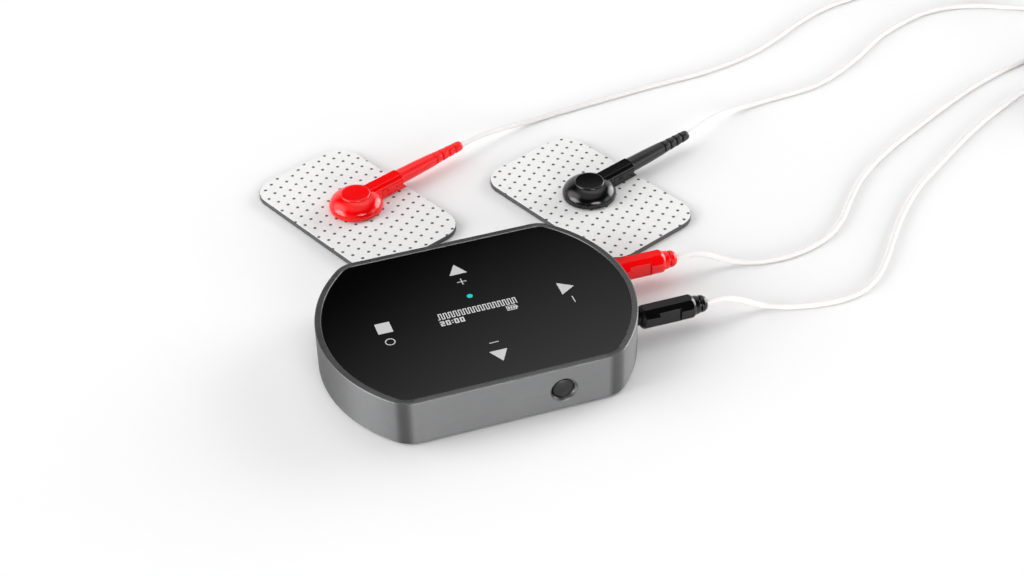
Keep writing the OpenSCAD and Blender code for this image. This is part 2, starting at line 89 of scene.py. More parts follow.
class Nodes:
    """A node tree, with one short call for each kind of node."""

    def __init__(self, owner):
        owner.use_nodes = True
        self.tree = owner.node_tree

    def node(self, kind, inputs=None, **settings):
        made = self.tree.nodes.new(kind)
        for key, value in settings.items():
            setattr(made, key, value)
        for key, value in (inputs or {}).items():
            self.feed(made.inputs[key], value)
        return made

    def feed(self, socket, value):
        if isinstance(value, bpy.types.NodeSocket):
            self.tree.links.new(value, socket)
        else:
            socket.default_value = value

    def ramp(self, value, low, high, to_low=0.0, to_high=1.0, smooth=False):
        inputs = {"Value": value, "From Min": low, "From Max": high}
        inputs |= {"To Min": to_low, "To Max": to_high}
        kind = "SMOOTHSTEP" if smooth else "LINEAR"
        made = self.node("ShaderNodeMapRange", inputs, interpolation_type=kind)
        return made.outputs["Result"]

    def maths(self, operation, a, b=0.0):
        return self.node("ShaderNodeMath", {0: a, 1: b}, operation=operation).outputs[0]

    def vector(self, operation, a, b=None, out="Vector"):
        inputs = {0: a} if b is None else {0: a, 1: b}
        made = self.node("ShaderNodeVectorMath", inputs, operation=operation)
        return made.outputs[out]


class Shader(Nodes):
    """A material, with its textures measured in millimetres."""

    def __init__(self, name):
        self.material = bpy.data.materials.new(name)
        super().__init__(self.material)
        self.bsdf = self.tree.nodes["Principled BSDF"]
        place = self.node("ShaderNodeTexCoord").outputs
        self.at, self.facing = place["Object"], place["Normal"]

    def noise(self, size, detail=2.0, roughness=0.5, at=None):
        """Noise whose blotches are about size millimetres across."""
        inputs = {"Vector": at or self.at, "Scale": 1 / (size * MM), "Detail": detail}
        inputs["Roughness"] = roughness
        return self.node("ShaderNodeTexNoise", inputs).outputs["Fac"]

    def cells(self, size):
        """Distance from the middle of cells about size millimetres across."""
        inputs = {"Vector": self.at, "Scale": 1 / (size * MM)}
        return self.node("ShaderNodeTexVoronoi", inputs).outputs["Distance"]

    def bricks(self, size, gap, one, other, mortar):
        """Bricks of two colours, about size millimetres long, with gap as the mortar's share."""
        inputs = {"Vector": self.at, "Scale": 1 / (size * MM), "Mortar Size": gap}
        inputs |= {"Color1": one, "Color2": other, "Mortar": mortar}
        return self.node("ShaderNodeTexBrick", inputs).outputs

    def mix(self, share, a, b):
        made = self.node("ShaderNodeMix", {"Factor": share}, data_type="RGBA")
        self.feed(made.inputs["A"], a)
        self.feed(made.inputs["B"], b)
        return made.outputs["Result"]

    def stretched(self, scale, turn=0.0):
        """The place, turned about Z and scaled along each axis."""
        inputs = {"Vector": self.at, "Scale": scale, "Rotation": (0, 0, turn)}
        return self.node("ShaderNodeMapping", inputs).outputs["Vector"]

    def bump(self, height, depth, below=None):
        """Relief of depth millimetres, on top of another relief."""
        inputs = {"Height": height, "Distance": depth * MM, "Strength": 1.0}
        if below is not None:
            inputs["Normal"] = below
        return self.node("ShaderNodeBump", inputs).outputs["Normal"]

    def surface(self, **values):
        """Sets the shader's sockets by name, with _ for each space."""
        for key, value in values.items():
            self.feed(self.bsdf.inputs[key.replace("_", " ")], value)
        return self.material


def shade(colour, factor):
    """A colour made lighter or darker, with full alpha."""
    return tuple(min(1.0, c * factor) for c in colour[:3]) + (1.0,)


def finish_of(name, colour, rough, blotch=6.0, depth=0.006, **values):
    """A moulded, painted or metal finish: blotches in its colour and gloss, and a fine grain."""
    s = Shader(name)
    blotches = s.noise(blotch, detail=4.0)
    tint = s.mix(blotches, shade(colour, 0.92), shade(colour, 1.08))
    gloss = s.ramp(s.noise(blotch * 0.6, detail=5.0), 0.3, 0.7, rough * 0.85, rough * 1.15)
    relief = s.bump(s.noise(0.25, detail=3.0), depth)
    return s.surface(Base_Color=tint, Roughness=gloss, Normal=relief, **values)


# -------- materials


def anodised():
    """Anodised metal: satin side walls blasted along their height, and a smoother milled rim."""
    s = Shader("anodised_metal")
    base = (0.15, 0.151, 0.153)
    blotches = s.noise(9.0, detail=4.0)
    grain = s.noise(0.16, detail=2.0)
    tint = s.mix(blotches, shade(base, 0.93), shade(base, 1.07))
    tint = s.mix(s.ramp(grain, 0.35, 0.65, 0.0, 0.5), tint, shade(base, 1.35))
    marks = s.noise(2.2, detail=6.0, roughness=0.65, at=s.stretched((0.35, 0.35, 2.2)))
    facing = s.node("ShaderNodeSeparateXYZ", {"Vector": s.facing}).outputs["Z"]
    up = s.ramp(facing, 0.25, 0.9)
    side_gloss = s.ramp(marks, 0.35, 0.7, 0.46, 0.53)
    top_gloss = s.ramp(marks, 0.35, 0.7, 0.25, 0.3)
    gloss = s.ramp(up, 0.0, 1.0, side_gloss, top_gloss)
    relief = s.bump(grain, 0.0015)
    around = s.node("ShaderNodeTangent", direction_type="RADIAL", axis="Z").outputs[0]
    return s.surface(
        Base_Color=tint,
        Roughness=gloss,
        Normal=relief,
        Tangent=around,
        Metallic=1.0,
        Anisotropic=s.ramp(up, 0.0, 1.0, 0.9, 0.0),
        Anisotropic_Rotation=0.25,
    )


def black_glass():
    """Back-painted glass: deep black with a clear polished face and faint finger smears."""
    s = Shader("black_glass")
    smears = s.noise(7.0, detail=5.0, roughness=0.6, at=s.stretched((1.0, 0.45, 1.0), 0.6))
    gloss = s.ramp(smears, 0.42, 0.75, 0.03, 0.06)
    tint = s.mix(s.noise(30.0), (0.0008, 0.0008, 0.001, 1), (0.0014, 0.0014, 0.0016, 1))
    relief = s.bump(s.noise(14.0, detail=1.0), 0.003)
    return s.surface(Base_Color=tint, Roughness=gloss, Normal=relief, IOR=1.52)


def printed_white():
    """White ink seen through the glass, with a slight unevenness."""
    s = Shader("printed_white")
    speckle = s.noise(0.35, detail=3.0)
    tint = s.mix(speckle, (0.5, 0.5, 0.505, 1), (0.57, 0.57, 0.575, 1))
    gloss = s.ramp(s.noise(5.0, detail=4.0), 0.3, 0.7, 0.06, 0.1)
    return s.surface(Base_Color=tint, Roughness=gloss)


def lit_pixels(name, colour, strength):
    """Small lit squares of a dot display, slightly uneven in brightness."""
    s = Shader(name)
    speckle = s.ramp(s.noise(0.3, detail=2.0), 0.3, 0.7, 0.8, 1.0)
    glow = s.vector("SCALE", colour[:3])
    s.feed(glow.node.inputs["Scale"], speckle)
    return s.surface(
        Base_Color=shade(colour, 0.1),
        Roughness=s.ramp(s.noise(2.0), 0.3, 0.7, 0.06, 0.12),
        Emission_Color=glow,
        Emission_Strength=strength,
    )


def moulded(name, colour, rough=0.12, **values):
    """Injection moulding: even colour, slight flow marks and orange peel in the gloss."""
    s = Shader(name)
    flow = s.noise(3.0, detail=4.0, roughness=0.6)
    tint = s.mix(flow, shade(colour, 0.93), shade(colour, 1.06))
    scuffs = s.noise(0.8, detail=6.0, roughness=0.7)
    gloss = s.ramp(scuffs, 0.4, 0.72, rough, rough + 0.06)
    relief = s.bump(s.noise(1.1, detail=2.0), 0.006)
    relief = s.bump(s.noise(0.12, detail=2.0), 0.0008, relief)
    return s.surface(Base_Color=tint, Roughness=gloss, Normal=relief, IOR=1.5, **values)


def cord_jacket():
    """Soft white jacket with a faint waviness and dust in the gloss."""
    s = Shader("cord_jacket")
    tint = s.mix(s.noise(2.5, detail=4.0), (0.75, 0.725, 0.715, 1), (0.82, 0.795, 0.785, 1))
    gloss = s.ramp(s.noise(0.9, detail=5.0), 0.3, 0.7, 0.34, 0.46)
    relief = s.bump(s.noise(0.5, detail=2.0), 0.006)
    return s.surface(Base_Color=tint, Roughness=gloss, Normal=relief)


def pad_cover(name, turn, offset):
    """Non-woven pad cover: pressed fibres, and small dark dots in a square lattice."""
    s = Shader(name)
    turned = s.node(
        "ShaderNodeMapping",
        {
            "Vector": s.at,
            "Scale": (1 / (DOT_PITCH * MM),) * 3,
            "Rotation": (0, 0, -turn),
            "Location": (offset[0], offset[1], 0),
        },
    ).outputs["Vector"]
    cell = s.vector("SUBTRACT", s.vector("FRACTION", turned), (0.5, 0.5, 0.0))
    flat = s.vector("MULTIPLY", cell, (1.0, 1.0, 0.0))
    away = s.vector("LENGTH", flat, out="Value")
    rough_edge = s.ramp(s.noise(0.2, detail=3.0), 0.2, 0.8, -0.025, 0.025)
    away = s.maths("ADD", away, rough_edge)
    dot = s.ramp(away, DOT_RADIUS * 0.72, DOT_RADIUS * 1.2, 1.0, 0.0, smooth=True)
    fibres = s.noise(0.22, detail=5.0, roughness=0.75, at=s.stretched((1.0, 0.35, 1.0), turn))
    crossed = s.noise(0.22, detail=5.0, roughness=0.75, at=s.stretched((0.35, 1.0, 1.0), turn))
    web = s.maths("MULTIPLY", s.maths("ADD", fibres, crossed), 0.5)
    blotches = s.noise(5.0, detail=4.0)
    tint = s.mix(s.ramp(web, 0.36, 0.6), (0.68, 0.68, 0.675, 1), (0.86, 0.86, 0.855, 1))
    tint = s.mix(s.ramp(blotches, 0.35, 0.7, 0.0, 0.35), tint, (0.8, 0.795, 0.79, 1))
    tint = s.mix(dot, tint, (0.055, 0.057, 0.06, 1))
    relief = s.bump(web, 0.05)
    relief = s.bump(dot, -0.06, relief)
    return s.surface(
        Base_Color=tint,
        Roughness=s.ramp(web, 0.3, 0.7, 0.75, 0.95),
        Normal=relief,
        Sheen_Weight=0.15,
        Sheen_Roughness=0.5,
    )


def foam():
    """Closed-cell foam with a carbon film: dark grey with small open pores."""
    s = Shader("pad_foam")
    pores = s.cells(0.22)
    tint = s.mix(s.ramp(pores, 0.1, 0.6), (0.04, 0.041, 0.043, 1), (0.085, 0.087, 0.09, 1))
    relief = s.bump(pores, 0.03)
    return s.surface(
        Base_Color=tint, Roughness=s.ramp(s.noise(1.5), 0.3, 0.7, 0.7, 0.9), Normal=relief
    )


def gel():
    """Tacky hydrogel with its scrim showing through."""
    s = Shader("pad_gel")
    pale, blue, scrim = (0.55, 0.6, 0.62, 1), (0.6, 0.64, 0.66, 1), (0.8, 0.82, 0.82, 1)
    threads = s.bricks(1.2, 0.05, pale, blue, scrim)
    relief = s.bump(s.noise(3.0, detail=3.0), 0.04)
    return s.surface(
        Base_Color=threads["Color"],
        Roughness=s.ramp(s.noise(2.0), 0.3, 0.7, 0.12, 0.25),
        Normal=relief,
        Transmission_Weight=0.3,
        IOR=1.38,
    )


def board():
    """Solder mask over fine tracks, with pads of plated copper."""
    s = Shader("circuit_board")
    dark, green, track = (0.012, 0.09, 0.035, 1), (0.016, 0.12, 0.045, 1), (0.03, 0.2, 0.08, 1)
    tracks = s.bricks(1.8, 0.04, dark, green, track)
    lands = s.ramp(s.cells(2.6), 0.1, 0.13, 1.0, 0.0)
    tint = s.mix(lands, tracks["Color"], (0.75, 0.55, 0.25, 1))
    return s.surface(
        Base_Color=tint,
        Roughness=s.ramp(s.noise(1.2), 0.3, 0.7, 0.28, 0.4),
        Metallic=lands,
        Normal=s.bump(tracks["Fac"], 0.02),
    )


def studio_floor():
    """Matt pale floor, very slightly uneven in tone."""
    s = Shader("studio_floor")
    tint = s.mix(s.noise(120.0, detail=3.0), (0.86, 0.86, 0.86, 1), (0.88, 0.88, 0.88, 1))
    return s.surface(Base_Color=tint, Roughness=0.9, Specular_IOR_Level=0.1)


# -------- sizes shared with the CAD

CASE_L, CASE_W, CASE_H = 80.0, 57.3, 13.05
END_R, CORNER_R = 37.4, 7.0
WALL, GLASS_T, GLASS_RECESS = 1.6, 1.1, 0.15
BASE_PAD_T, GASKET_T, LEDGE_W, LEDGE_T = 0.5, 0.3, 1.4, 1.2
GLASS_TOP = CASE_H - GLASS_RECESS
SEAT_Z = GLASS_TOP - GLASS_T - GASKET_T
BUTTON_X, BUTTON_Z, BUTTON_D, LIP_R = 12.5, 6.3, 5.4, 3.35
BOSS_X, BOSS_Y, BOSS_R, PILOT_R, COVER_TOP = 27.5, 20.5, 2.2, 0.8, 2.0
JACK_Y, JACK_Z, JACK_NOSE_R, JACK_FRONT_X = 9.9, 6.5, 1.9, 35.6
PLUG_X, SHELL_END, SLEEVE_R = 39.7, 53.8, 1.85
HEAD_R, SPLIT_Z, CAP_R, CAP_Z, HEAD_TOP = 7.4, 3.2, 4.15, 5.2, 6.5
SOCKET_R, SOCKET_TOP = 3.35, 4.5
NECK_W, NECK_TOP, NECK_END, NECK_SPLIT_Z = 4.6, 6.2, 15.0, 4.7
BOOT_Z, BOOT_END = 4.3, 38.0
BOOT_R, BOOT_WAIST_R, BOOT_TIP_R, BOOT_CORE_R = 2.15, 1.85, 1.45, 1.2
RIBS, RIB_PITCH, RIB_GROOVE = 4, 2.4, 0.5
# The head's dome is part of an ellipse: its middle and half-axes, and its angles in degrees
DOME_Z, DOME_INSET_R, DOME_TALL, DOME_WIDE = 2.6, 2.2, 3.6, 5.2
DOME_FROM, DOME_STEP, DOME_STEPS = 11, 3.57, 17
DIMPLE_Z, DIMPLES_X = 3.75, (9.4, 12.6)
PAD_L, PAD_W, PAD_R, PAD_T = 54.0, 33.1, 6.9, 1.5
GEL_TOP, COVER_T = 0.5, 0.06
# The dots' pitch, their radius as a share of it, and each pad's lattice: its turn in degrees
# from the tail's direction, and its shift in pitches
DOT_PITCH, DOT_RADIUS = 3.09, 0.148
DOTS = {"red": (21.2, (0.489, 0.304)), "black": (23.0, (0.755, 0.429))}
PRINT_T, PRINT_SINK = 0.02, 0.01
CORD_D, COIL_D, COIL_LAYERS, TURNS_PER_LAYER = 1.6, 18.8, 4, 2.5
FLOOR_Z = CORD_D / 2
COIL_RUN = CORD_D * TURNS_PER_LAYER
COIL_LINE_R = (COIL_D + COIL_RUN) / 2


class Side:
    """What differs between the red lead and the black one: name, jack, pad, tail and colour."""

    def __init__(self, name, sign, pad_at, tail_angle, colour):
        self.name, self.sign, self.colour = name, sign, colour
        self.turn = math.radians(tail_angle)
        self.pad = Matrix.Translation(Vector((*pad_at, 0)) * MM) @ Matrix.Rotation(
            self.turn, 4, "Z"
        )
        self.lead, self.snap, self.pad_body = (f"{name}_{b}" for b in ("lead", "snap", "pad"))


RED = Side("red", 1, (-13.2, 67.0), 23.5, (0.86, 0.0012, 0.0022))
BLACK = Side("black", -1, (48.8, 50.2), 22.5, (0.0022, 0.0022, 0.0024))
SIDES = (RED, BLACK)

PAINT = {
    "metal": anodised(),
    "glass": black_glass(),
    "ink": printed_white(),
    "pixels": lit_pixels("display_pixels", (0.93, 0.93, 0.95), 0.66),
    "light": lit_pixels("status_glow", (0.01, 0.6, 0.57), 1.0),
    "button": finish_of("button_black", (0.012, 0.012, 0.0125), 0.3, IOR=1.42),
    "red": moulded("moulded_red", RED.colour),
    "black": moulded("moulded_black", BLACK.colour),
    "red_boot": moulded("soft_red", RED.colour, 0.28, Sheen_Weight=0.1, Sheen_Roughness=0.4),
    "black_boot": moulded(
        "soft_black", BLACK.colour, 0.28, Sheen_Weight=0.2, Sheen_Roughness=0.4
    ),
    "cord": cord_jacket(),
    "foam": foam(),
    "gel": gel(),
    "board": board(),
    "rubber": finish_of("base_rubber", (0.022, 0.022, 0.024), 0.8, depth=0.02),
    "cover": finish_of("cover_plastic", (0.03, 0.03, 0.033), 0.55, depth=0.02),
    "foam_grey": finish_of("gasket_foam", (0.045, 0.046, 0.05), 0.85, depth=0.04),
    "film": finish_of("touch_film", (0.5, 0.42, 0.22), 0.25, blotch=3.0),
    "screen": finish_of("display_glass", (0.02, 0.03, 0.045), 0.1, Coat_Weight=0.5),
    "flex": finish_of("flex_cable", (0.42, 0.18, 0.04), 0.35, Coat_Weight=0.2),
    "chip": finish_of("moulded_chip", (0.018, 0.018, 0.019), 0.6, depth=0.015),
    "can": finish_of("capacitor_can", (0.62, 0.64, 0.67), 0.28, Metallic=1.0),
    "pouch": finish_of("battery_foil", (0.55, 0.56, 0.58), 0.38, blotch=4.0, Metallic=1.0),
    "wire": finish_of("wire_red", (0.45, 0.03, 0.025), 0.45),
    "steel": finish_of("plated_steel", (0.6, 0.61, 0.63), 0.24, blotch=2.0, Metallic=1.0),
    "winding": finish_of("transformer_tape", (0.3, 0.2, 0.06), 0.5, blotch=2.0),
    "brass": finish_of("contact_brass", (0.78, 0.55, 0.24), 0.25, blotch=2.0, Metallic=1.0),
    "tie": finish_of("tie_strap", (0.75, 0.75, 0.74), 0.6, depth=0.03),
}

# -------- mesh tools

ON_AXIS = 1e-6
ALONG_X = Matrix.Identity(4)
ALONG_Y = Matrix.Rotation(math.pi / 2, 4, "Z")
ALONG_Z = Matrix.Rotation(-math.pi / 2, 4, "Y")


def moved(x, y, z):
    """A matrix that moves by millimetres."""
    return Matrix.Translation(Vector((x, y, z)) * MM)


def filleted(points, radii, steps=5, closed=False):
    """The line through 2D points, with each corner rounded by about its radius."""
    share = 0.48  # of each straight part, the most that a rounded corner takes up
    line, last = [], len(points) - 1
    for i, (point, radius) in enumerate(zip(points, radii)):
        corner = Vector(point)
        if radius == 0 or (not closed and i in (0, last)):
            line.append(corner)
            continue
        before, after = Vector(points[i - 1]), Vector(points[(i + 1) % len(points)])
        one, other = (before - corner), (after - corner)
        half = one.angle(other) / 2
        reach = min(radius / math.tan(half), share * one.length, share * other.length)
        start, end = corner + one.normalized() * reach, corner + other.normalized() * reach
        for k in range(steps + 1):
            t = k / steps
            line.append(start * (1 - t) ** 2 + corner * 2 * t * (1 - t) + end * t * t)
    return line


def arc(centre, radius, start, end, steps):
    """Points along an arc, both ends included. Angles are in radians."""
    angles = [start + (end - start) * i / steps for i in range(steps + 1)]
    return [
        (centre[0] + radius * math.cos(a), centre[1] + radius * math.sin(a)) for a in angles
    ]


def case_outline(inset):
    """The casing's outline: two straight sides, two long end arcs and four corners."""
    arc_x = CASE_L / 2 - END_R
    corner_y = CASE_W / 2 - CORNER_R
    corner_x = arc_x + math.sqrt((END_R - CORNER_R) ** 2 - corner_y**2)
    join = math.atan2(corner_y, corner_x - arc_x)
    end_steps, corner_steps = 48, 12
    tip = join * (1 - 1 / end_steps)
    quarter, end_r, corner_r = math.pi / 2, END_R - inset, CORNER_R - inset
    half = (
        arc((arc_x, 0), end_r, -tip, tip, end_steps)
        + arc((corner_x, corner_y), corner_r, join, quarter, corner_steps)
        + arc((-corner_x, corner_y), corner_r, quarter, 2 * quarter - join, corner_steps)
    )
    return half + [(-x, -y) for x, y in half]


def pad_outline(inset):
    """A pad's outline in its own frame: the tail runs along X, and the pad is longer in Y."""
    x, y = PAD_W / 2 - PAD_R, PAD_L / 2 - PAD_R
    line = []
    for k, (sx, sy) in enumerate(((1, 1), (-1, 1), (-1, -1), (1, -1))):
        start = k * math.pi / 2
        line += arc((sx * x, sy * y), PAD_R - inset, start, start + math.pi / 2, 12)
    return line


def bridge(bm, rings, closed=False, caps=True):
    """Joins rings of vertices into a skin."""
    pairs = list(zip(rings, rings[1:])) + ([(rings[-1], rings[0])] if closed else [])
    for a, b in pairs:
        count = max(len(a), len(b))
        for k in range(count):
            after = k + 1
            corners = [a[k % len(a)], a[after % len(a)], b[after % len(b)], b[k % len(b)]]
            unique = list(dict.fromkeys(corners))
            if len(unique) > 2:
                bm.faces.new(unique)
    if caps and not closed:
        for ring in (rings[0], rings[-1]):
            if len(ring) > 2:
                bm.faces.new(ring)


def lofted(bm, outline, profile, closed=False):
    """A skin through the outline at each (inset, z) of a profile."""
    rings = [
        [bm.verts.new(Vector((x, y, z)) * MM) for x, y in outline(inset)]
        for inset, z in profile
    ]
    bridge(bm, rings, closed)


def lathed(bm, profile, place, steps=96, closed=False):
    """A skin turned about the X axis of place, through (x, r) points."""
    rings = []
    for x, r in profile:
        if r < ON_AXIS:
            rings.append([bm.verts.new(place @ (Vector((x, 0, 0)) * MM))])
            continue
        ring = []
        for k in range(steps):
            turn = 2 * math.pi * k / steps
            point = Vector((x, r * math.cos(turn), r * math.sin(turn))) * MM
            ring.append(bm.verts.new(place @ point))
        rings.append(ring)
    bridge(bm, rings, closed, caps=False)


def extruded(bm, outline, place, low, high):
    """A prism of an (x, y) outline between two heights of place."""
    rings = [
        [bm.verts.new(place @ (Vector((x, y, z)) * MM)) for x, y in outline]
        for z in (low, high)
    ]
    bridge(bm, rings)


def as_object(name, bm):
    """Makes an object in the scene from a bmesh, with its faces turned outwards."""
    bmesh.ops.recalc_face_normals(bm, faces=bm.faces)
    mesh = bpy.data.meshes.new(name)
    bm.to_mesh(mesh)
    bm.free()
    obj = bpy.data.objects.new(name, mesh)
    bpy.context.scene.collection.objects.link(obj)
    return obj


def applied(obj):
    """Bakes an object's modifiers into its mesh."""
    graph = bpy.context.evaluated_depsgraph_get()
    baked = bpy.data.meshes.new_from_object(obj.evaluated_get(graph))
    obj.modifiers.clear()
    old, obj.data = obj.data, baked
    bpy.data.meshes.remove(old)
    return obj


def combined(obj, others, operation):
    """A boolean of obj with each of the others, which are used up."""
    for other in others:
        step = obj.modifiers.new("boolean", "BOOLEAN")
        step.operation, step.object, step.solver = operation, other, "EXACT"
    applied(obj)
    for other in others:
        bpy.data.objects.remove(other)
    return obj


def solid(name, make, *args, **kwargs):
    """A new object from one of the mesh functions above."""
    bm = bmesh.new()
    make(bm, *args, **kwargs)
    return as_object(name, bm)


def cylinder(name, radius, start, end, place, steps):
    """A cylinder along the X axis of place."""
    line = [(start, 0), (start, radius), (end, radius), (end, 0)]
    return solid(name, lathed, line, place, steps)


def rounded_edges(obj, width, over=28):
    """Rounds the edges that are sharper than an angle in degrees."""
    step = obj.modifiers.new("bevel", "BEVEL")
    step.width, step.segments = width * MM, 2
    step.limit_method, step.angle_limit = "ANGLE", math.radians(over)
    step.use_clamp_overlap = True
    return applied(obj)


def dressed(obj, paint, body, replaces=(), sharp=40):
    """Smooth shading, material and body: the last step of every rigid piece."""
    obj.data.shade_smooth()
    obj.data.set_sharp_from_angle(angle=math.radians(sharp))
    step = obj.modifiers.new("normals", "WEIGHTED_NORMAL")
    step.keep_sharp, step.weight = True, 80
    obj.data.materials.clear()
    obj.data.materials.append(PAINT[paint] if isinstance(paint, str) else paint)
    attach(obj, body)
    if replaces:
        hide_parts(*replaces)
    return obj


def cad_copy(node, name, width):
    """A new piece from a CAD node's shape, with its edges rounded."""
    bm = bmesh.new()
    bm.from_mesh(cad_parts[node].data)
    bmesh.ops.remove_doubles(bm, verts=bm.verts, dist=1e-7)
    bmesh.ops.dissolve_limit(
        bm, angle_limit=math.radians(1.0), verts=bm.verts, edges=bm.edges
    )
    return rounded_edges(as_object(name, bm), width)


# -------- cords

# Each lead's course from its plug to its coil, and from its coil to its boot. A point without
# a height lies on the floor.
RED_NEAR = [
    (58, 9.9, 6.5), (62, 9.9, 6.5), (66, 9.9, 5.2), (70, 9.8, 3), (75, 9, 1.1), (81, 7.4),
    (88, 7), (95, 8.2), (102, 11), (109, 16.4), (116, 24.6), (124, 33), (136, 41.8),
    (151, 50.4), (165, 58), (178, 64.2), (192, 69.4), (214, 75), (229, 80.2), (234, 86.4, 1.2),
    (235, 92, 3), (235, 98, 3), (235, 105, 1.1), (235, 118),
]
RED_FAR = [
    (223.6, 129.4, 5.6), (214, 129.4, 5.4), (205, 129, 3.4), (195, 128, 1.3), (175, 125),
    (156, 121), (144, 115.6), (133, 109.2), (122, 103.8), (106, 99.4), (84, 97.2), (62, 94.4),
    (52, 93), (44, 91.2, 1.3), (36, 88.2, 2.8), (29, 85.3, 4), (21.96, 82.28, 4.3),
]
BLACK_NEAR = [
    (58, -9.9, 6.5), (62, -9.9, 6.5), (66, -9.9, 5.2), (70, -9.9, 2.9), (74, -10.2, 1.1),
    (80, -12.4), (87, -14), (94, -14.4), (101, -12.8), (107, -8.8), (113, -2.4), (119, 5.2),
    (127, 14.4), (137, 23.8), (149, 32.4), (164, 42.6), (178, 50.6), (192, 57.4), (205, 60),
]
BLACK_FAR = [
    (205, 60, 5.6), (214, 60, 5.4), (224, 61.6, 3), (234, 64.6, 1.2), (243, 69), (250, 75.6),
    (253, 82.8), (251, 90), (245, 94.4), (225, 95.2), (213, 99.6), (202, 105), (193, 107.4),
    (184, 107.2), (174, 104), (163, 98.6), (153, 91.4), (143, 85.2), (132, 80.4), (114, 78),
    (104, 75.8, 1.6), (95, 71.2, 3.6), (84.2, 64.86, 4.3),
]
CORD_STEP, CORD_SIDES, COIL_STEPS = 1.2, 12, 36
# How far the curve's guide points lie beyond its ends, and how far the tube goes on inside
# the plug and the boot
PLUG_GUIDE, COIL_GUIDE, TUBE_SUNK = 4, 6, 1


def on_floor(point):
    """A cord's point, at the floor if it has no height of its own."""
    return Vector(point if len(point) == 3 else (*point, FLOOR_Z))


def curve_through(points, first, last):
    """A smooth curve through the points, sampled about every CORD_STEP.

    first and last are the points that the curve would pass before and after.
    """
    line = [Vector(first)] + [on_floor(p) for p in points] + [Vector(last)]
    curve = []
    for a, b, c, d in zip(line, line[1:], line[2:], line[3:]):
        gaps = [math.sqrt((q - p).length) for p, q in ((a, b), (b, c), (c, d))]
        span = gaps[1]
        out_of_b = (c - b) / span - (c - a) / (gaps[0] + span) + (b - a) / gaps[0]
        into_c = (d - c) / gaps[2] - (d - b) / (span + gaps[2]) + (c - b) / span
        m0, m1 = out_of_b * span, into_c * span
        count = max(2, round((c - b).length / CORD_STEP))
        for k in range(count):
            t = k / count
            curve.append(
                b * (2 * t**3 - 3 * t**2 + 1)
                + m0 * (t**3 - 2 * t**2 + t)
                + c * (3 * t**2 - 2 * t**3)
                + m1 * (t**3 - t**2)
            )
    curve.append(on_floor(points[-1]))
    for point in curve:
        point.z = max(point.z, FLOOR_Z)
    return curve


def winding(centre, start_angle, way, turns):
    """The coil's turns: in, out, in and out again, each layer a diameter above the last."""
    per_layer = turns / COIL_LAYERS
    steps = round(turns * COIL_STEPS)
    climb_turns = 0.5
    line = []
    for k in range(steps + 1):
        done = k / steps * turns
        across = done / per_layer
        layer = min(int(across), COIL_LAYERS - 1)
        part = across - layer
        inward = part if layer % 2 == 0 else 1 - part
        nearest = round(across)
        if 0 < nearest < COIL_LAYERS:
            since = (done - nearest * per_layer) / climb_turns
            climb = min(1.0, max(0.0, since + 0.5))
            climb = climb * climb * (3 - 2 * climb)
            level = nearest - 1 + climb
        else:
            level = 0 if nearest == 0 else COIL_LAYERS - 1
        radius = COIL_LINE_R - COIL_RUN * inward
        angle = start_angle + way * 2 * math.pi * done
        x, y = centre[0] + radius * math.cos(angle), centre[1] + radius * math.sin(angle)
        line.append(Vector((x, y, FLOOR_Z + CORD_D * level)))
    return line


def tube_rings(bm, line, radius, sides):
    """A round tube along a line, with flat ends."""
    ahead = (line[1] - line[0]).normalized()
    across = ahead.cross(Vector((0, 0, 1))).normalized()
    turns = [2 * math.pi * k / sides for k in range(sides)]
    rings = []
    for i, point in enumerate(line):
        ahead = (line[min(i + 1, len(line) - 1)] - line[max(i - 1, 0)]).normalized()
        across = (across - ahead * across.dot(ahead)).normalized()
        over = across.cross(ahead)
        around = [math.cos(a) * across + math.sin(a) * over for a in turns]
        rings.append([bm.verts.new((point + radius * way) * MM) for way in around])
    bridge(bm, rings)


def add_tie(side, centre, angle):
    """A soft strap around the coil's bundle."""
    width, thick, slack, inner_r, outer_r = 5.0, 0.3, 0.25, 1.2, 1.5
    half_w = (COIL_RUN + CORD_D) / 2 + slack
    top = CORD_D * COIL_LAYERS + slack
    loop = [(-half_w, thick), (half_w, thick), (half_w, top), (-half_w, top)]
    inner = filleted(loop, [inner_r] * 4, closed=True)
    outer = filleted(
        [(x + math.copysign(thick, x), z + (thick if z > 1 else -thick)) for x, z in loop],
        [outer_r] * 4,
        closed=True,
    )
    place = (
        moved(centre[0], centre[1], 0)
        @ Matrix.Rotation(angle, 4, "Z")
        @ moved(COIL_D / 2, 0, 0)
    )
    bm = bmesh.new()
    rings = []
    side_y = width / 2
    for line, y in ((inner, -side_y), (outer, -side_y), (outer, side_y), (inner, side_y)):
        rings.append([bm.verts.new(place @ (Vector((x, y, z)) * MM)) for x, z in line])
    bridge(bm, rings, closed=True)
    tie = as_object(f"{side.name}_coil_tie", bm)
    rounded_edges(tie, 0.08)
    return dressed(tie, "tie", side.lead)


